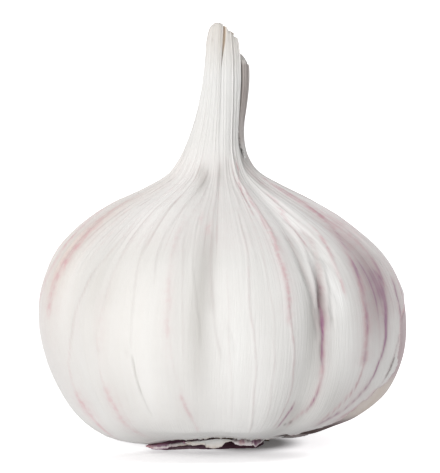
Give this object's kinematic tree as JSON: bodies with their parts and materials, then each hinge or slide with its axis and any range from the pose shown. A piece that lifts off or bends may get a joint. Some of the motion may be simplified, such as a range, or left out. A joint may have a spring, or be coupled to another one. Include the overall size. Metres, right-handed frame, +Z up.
{
  "type": "garlic bulb",
  "caption": "Whole bulb of garlic with a plump ribbed head, a tall dried neck with a torn rim, a rooted base plate and scraps of loose papery skin.",
  "frame": {"origin": "centre of the root plate's flat underside, on the surface the bulb stands on", "axes": "+Z up along the neck, -Y towards the front with the faint clove valleys, +X towards the side where the white wrapper is torn away"},
  "size_m": [0.0598, 0.057, 0.0684],
  "materials": {
    "paper_skin": "thin dry papery skin with a faint satin sheen",
    "dry_root": "dry, matt and fibrous",
    "deeper_skin": "thin dry papery skin, mauve with purple veins",
    "dry_sheath": "dry, matt and fibrous",
    "purple_skin": "thin dry papery skin, purple inside"
  },
  "bodies": {
    "root": {"bulb": "paper_skin", "root_plate": "dry_root", "bare_skin": "deeper_skin", "neck_sheath": "dry_sheath", "base_skin_left": "purple_skin", "base_skin_right": "purple_skin", "base_skin_back": "purple_skin"}
  },
  "joints": []
}
